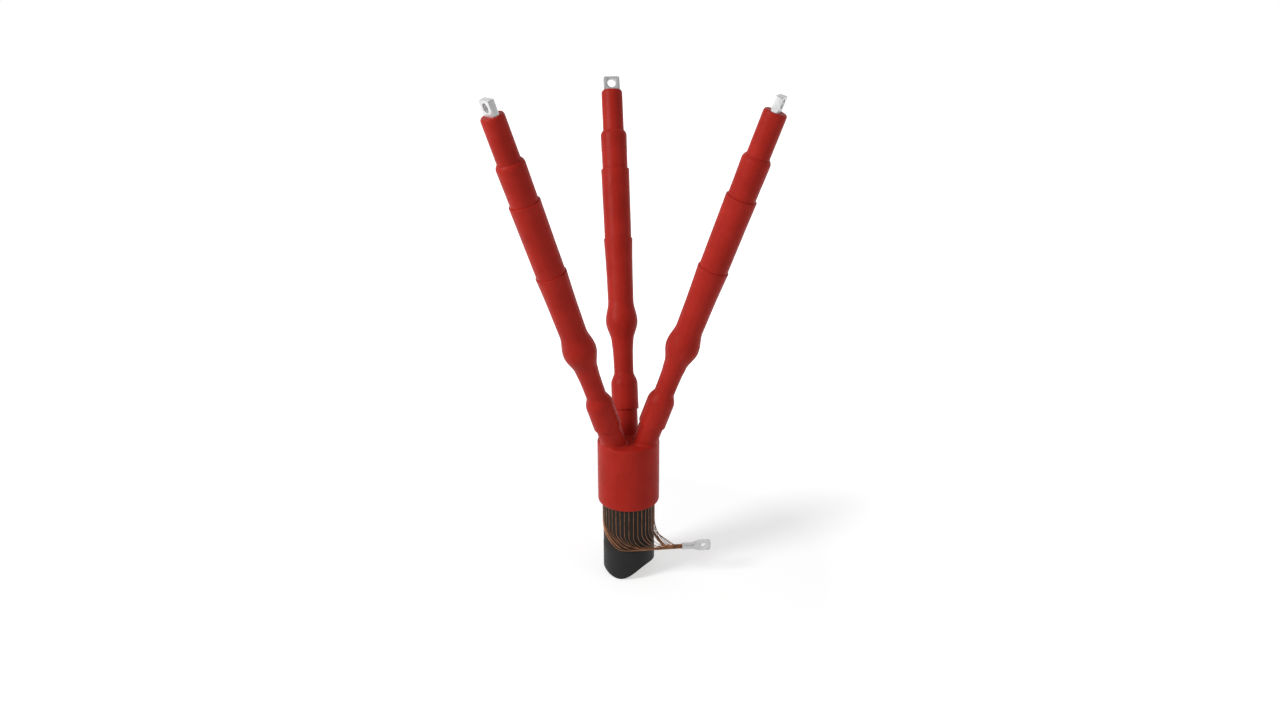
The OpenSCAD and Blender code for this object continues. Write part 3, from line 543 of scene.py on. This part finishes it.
def bare_copper(name):
    """Drawn copper gone brown in places, with one shade for each wire."""
    s = Shader(name)
    place = s.place()
    tarnish = s.noise(place, 130.0, 4.0, 0.6)
    shade = s.attribute("shade", "Fac")
    value = s.sum(tarnish, shade, 0.3)
    colour = s.ramp(
        value, (0.35, (0.1, 0.047, 0.025)), (0.62, (0.27, 0.123, 0.062)), (0.92, (0.5, 0.24, 0.125))
    )
    roughness = s.span(tarnish, 0.34, 0.5)
    return s.finish(colour, roughness, s.noise(place, 2600.0, 3.0), 0.02 * MM, Metallic=0.85)


def tinned_metal():
    """Pale tinned lug: dull bright metal with faint brushed streaks and soft handling marks."""
    s = Shader("tinned_metal")
    place = s.place()
    cloud = s.noise(place, 150.0, 5.0, 0.6)
    grain = s.noise(place, 2400.0, 4.0)
    streaks = s.noise(s.stretched(place, (1.0, 1.0, 0.07)), 1300.0, 4.0, 0.65)
    base = s.ramp(
        cloud, (0.3, (0.58, 0.583, 0.586)), (0.55, (0.67, 0.672, 0.673)), (0.75, (0.74, 0.74, 0.74))
    )
    brushed = s.ramp(streaks, (0.34, (0.86, 0.86, 0.86)), (0.62, (1.04, 1.04, 1.04)))
    colour = s.mix("MULTIPLY", 1.0, base, brushed)
    roughness = s.span(streaks, 0.34, 0.52)
    return s.finish(colour, roughness, s.sum(grain, streaks, 1.5), 0.01 * MM, Metallic=0.6)


def plain_body(name, dark, light, rough, shine=0.5):
    """Cloudy plastic, filler or mastic between two colours."""
    s = Shader(name)
    place = s.place()
    cloud = s.noise(place, 240.0, 5.0, 0.6)
    colour = s.ramp(cloud, (0.3, dark), (0.7, light))
    roughness = s.span(cloud, rough - 0.08, rough + 0.08)
    return s.finish(colour, roughness, s.noise(place, 1500.0, 4.0), 0.05 * MM, Specular_IOR_Level=shine)


sleeve_red = shrunk_red("sleeve_red", True)
boot_red = shrunk_red("boot_red", False)
black = sheath_black()
copper = bare_copper("wire_copper")
tinned = tinned_metal()
core_copper = bare_copper("conductor_copper")
insulation = plain_body("insulation_milky", (0.66, 0.64, 0.57), (0.78, 0.76, 0.69), 0.4)
semicon = plain_body("semicon_black", (0.014, 0.014, 0.015), (0.026, 0.026, 0.027), 0.6)
bedding_grey = plain_body("bedding_grey", (0.06, 0.06, 0.062), (0.1, 0.1, 0.1), 0.55)
filler_pale = plain_body("filler_pale", (0.42, 0.39, 0.32), (0.58, 0.55, 0.46), 0.7)
mastic = plain_body("mastic_ochre", (0.4, 0.27, 0.05), (0.55, 0.4, 0.1), 0.35)
mastic_red = plain_body("mastic_red", (0.34, 0.016, 0.01), (0.42, 0.022, 0.014), 0.5, 0.1)


def paint(node, material):
    mesh = nodes[node].data
    mesh.materials.clear()
    mesh.materials.append(material)


# Dress the part

sheath(black)
screen_wires(copper)
paint("breakout_boot", boot_red)
mould("breakout_boot", BOOT_VOXEL, BOOT_SMOOTHING)
paint("bedding", bedding_grey)
paint("core_filler", filler_pale)
paint("boot_mastic", mastic)
paint("crotch_mastic", mastic)
paint("earth_lug", tinned)
soften("earth_lug", EARTH_LUG_EDGE)
for number, core in enumerate(AZIMUTHS):
    for place, kind in enumerate(SLEEVES):
        sleeve(core, kind, 1 + 4 * number + place, sleeve_red)
    paint(f"{core}_lug", tinned)
    soften(f"{core}_lug", LUG_EDGE)
    strands(core, 20 + number, core_copper)
    paint(f"{core}_insulation", insulation)
    paint(f"{core}_core_screen", semicon)
    paint(f"{core}_stress_tube", semicon)
    paint(f"{core}_stress_mastic", mastic)
    paint(f"{core}_seal_mastic", mastic)
    paint(f"{core}_lug_mastic", mastic_red)


# Stage

def background_share(tree):
    """1 for rays that show the background, straight or by a mirror or glass, and 0 for light."""
    rays = tree.nodes.new("ShaderNodeLightPath")
    share = rays.outputs["Is Camera Ray"]
    for name in ("Is Glossy Ray", "Is Transmission Ray"):
        larger = tree.nodes.new("ShaderNodeMath")
        larger.operation = "MAXIMUM"
        tree.links.new(share, larger.inputs[0])
        tree.links.new(rays.outputs[name], larger.inputs[1])
        share = larger.outputs[0]
    return share


def white_world(light):
    world = bpy.data.worlds.new("studio")
    world.use_nodes = True
    tree = world.node_tree
    strength = tree.nodes.new("ShaderNodeMapRange")
    strength.inputs["To Min"].default_value = light
    strength.inputs["To Max"].default_value = 1.0
    tree.links.new(background_share(tree), strength.inputs["Value"])
    tree.nodes["Background"].inputs["Color"].default_value = (1, 1, 1, 1)
    tree.links.new(strength.outputs["Result"], tree.nodes["Background"].inputs["Strength"])
    bpy.context.scene.world = world


def flat_square(name, size, material):
    half = size / 2
    corners = [(-half, -half, 0), (half, -half, 0), (half, half, 0), (-half, half, 0)]
    mesh = bpy.data.meshes.new(name)
    mesh.from_pydata(corners, [], [(0, 1, 2, 3)])
    mesh.materials.append(material)
    square = bpy.data.objects.new(name, mesh)
    bpy.context.scene.collection.objects.link(square)
    return square


def white_floor(size, near, far):
    """A pale floor that keeps the shadow near the object and shows as white round it."""
    s = Shader("floor_white")
    s.surface.inputs["Base Color"].default_value = (0.82, 0.82, 0.82, 1)
    s.surface.inputs["Roughness"].default_value = 0.9
    s.surface.inputs["Specular IOR Level"].default_value = 0.0
    s.surface.inputs["Emission Color"].default_value = (1, 1, 1, 1)
    distance = s.add("ShaderNodeVectorMath")
    distance.operation = "LENGTH"
    s.tree.links.new(s.place(), distance.inputs[0])
    glow = s.span(distance.outputs["Value"], near, far, 0.25, 0.75)
    strength = s.add("ShaderNodeMath")
    strength.operation = "MULTIPLY"
    s.tree.links.new(background_share(s.tree), strength.inputs[0])
    s.tree.links.new(glow, strength.inputs[1])
    s.tree.links.new(strength.outputs[0], s.surface.inputs["Emission Strength"])
    floor = flat_square("floor", size, s.material)
    floor.location.z = -FLOOR_BELOW


def grey_card(at, towards, size, shade):
    """A studio card that shows only in glossy surfaces, so that metal has something dark to mirror."""
    s = Shader("card_grey")
    s.surface.inputs["Base Color"].default_value = (shade, shade, shade, 1)
    s.surface.inputs["Roughness"].default_value = 1.0
    s.surface.inputs["Specular IOR Level"].default_value = 0.0
    card = flat_square("card", size, s.material)
    card.location = at
    card.rotation_euler = (Vector(towards) - Vector(at)).to_track_quat("Z", "Y").to_euler()
    card.visible_camera = False
    card.visible_diffuse = False
    card.visible_shadow = False


def area_light(name, at, towards, size, energy):
    lamp = bpy.data.lights.new(name, "AREA")
    lamp.shape = "DISK"
    lamp.size = size
    lamp.energy = energy
    light = bpy.data.objects.new(name, lamp)
    light.location = at
    light.rotation_euler = (Vector(towards) - Vector(at)).to_track_quat("-Z", "Y").to_euler()
    bpy.context.scene.collection.objects.link(light)


white_world(light=0.345)
white_floor(size=60, near=0.5, far=1.0)
middle = (0, 0, 0.3)
grey_card(at=(0.8, -1.35, 1.25), towards=middle, size=2.7, shade=0.4)
area_light("key", at=(-1.95, -0.75, 1.5), towards=middle, size=0.8, energy=33)
area_light("fill", at=(1.8, -1.2, 0.9), towards=middle, size=1.2, energy=3)

camera = bpy.data.objects.new("camera", bpy.data.cameras.new("camera"))
camera.location = CAMERA_AT
camera.rotation_euler = (math.pi / 2 - CAMERA_PITCH, 0, CAMERA_TURN)
camera.data.lens = CAMERA_LENS
camera.data.sensor_width = 36
bpy.context.scene.collection.objects.link(camera)
bpy.context.scene.camera = camera
bpy.context.scene.view_settings.view_transform = "Standard"
